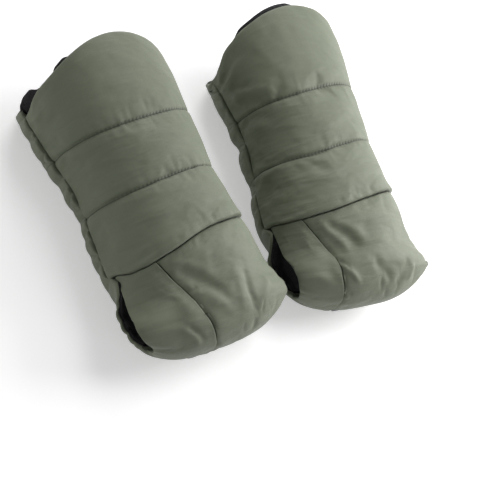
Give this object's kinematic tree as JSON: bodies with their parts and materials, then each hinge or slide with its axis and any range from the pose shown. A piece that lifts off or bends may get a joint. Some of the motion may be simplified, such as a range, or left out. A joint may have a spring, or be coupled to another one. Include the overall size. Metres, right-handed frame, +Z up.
{
  "type": "stroller hand muff pair",
  "caption": "Pair of padded, quilted hand muffs with fleece lining and a hinged toe hood that closes round a stroller's handlebar with press studs.",
  "frame": {"origin": "centre of the pair's footprint, on the surface that the muffs' backs rest on", "axes": "+X along the handlebar from the left muff to the right one, +Y from the toes to the cuffs, +Z up through the quilted fronts"},
  "size_m": [0.4151, 0.329, 0.1102],
  "materials": {
    "shell_fabric": "satin woven polyester, sage green",
    "fleece": "black pile fleece",
    "wadding": "white batting",
    "snap_metal": "gunmetal plated"
  },
  "bodies": {
    "root": {"left_quilted_front": "shell_fabric", "left_front_wadding": "wadding", "left_back_shell": "shell_fabric", "left_back_wadding": "wadding", "left_fleece_lining": "fleece", "left_toe_lining": "fleece", "left_snap_stud_left": "snap_metal", "left_snap_stud_right": "snap_metal", "left_snap_post_left": "snap_metal", "left_snap_post_right": "snap_metal", "right_quilted_front": "shell_fabric", "right_front_wadding": "wadding", "right_back_shell": "shell_fabric", "right_back_wadding": "wadding", "right_fleece_lining": "fleece", "right_toe_lining": "fleece", "right_snap_stud_left": "snap_metal", "right_snap_stud_right": "snap_metal", "right_snap_post_left": "snap_metal", "right_snap_post_right": "snap_metal"},
    "left_hood": {"left_toe_panel": "shell_fabric", "left_toe_gusset": "shell_fabric", "left_hood_wadding": "wadding", "left_hood_lining": "fleece", "left_snap_cap_left": "snap_metal", "left_snap_cap_right": "snap_metal", "left_snap_socket_left": "snap_metal", "left_snap_socket_right": "snap_metal"},
    "right_hood": {"right_toe_panel": "shell_fabric", "right_toe_gusset": "shell_fabric", "right_hood_wadding": "wadding", "right_hood_lining": "fleece", "right_snap_cap_left": "snap_metal", "right_snap_cap_right": "snap_metal", "right_snap_socket_left": "snap_metal", "right_snap_socket_right": "snap_metal"}
  },
  "joints": [
    {"name": "left_hood_hinge", "type": "hinge", "parent": "root", "child": "left_hood", "pos_m": [-0.1093, -0.06637, 0.09857], "axis": [-0.9876, -0.157, 0], "range_deg": [0, 110]},
    {"name": "right_hood_hinge", "type": "hinge", "parent": "root", "child": "right_hood", "pos_m": [0.1093, -0.06637, 0.09857], "axis": [-1, -0.0006, 0], "range_deg": [0, 110]}
  ]
}
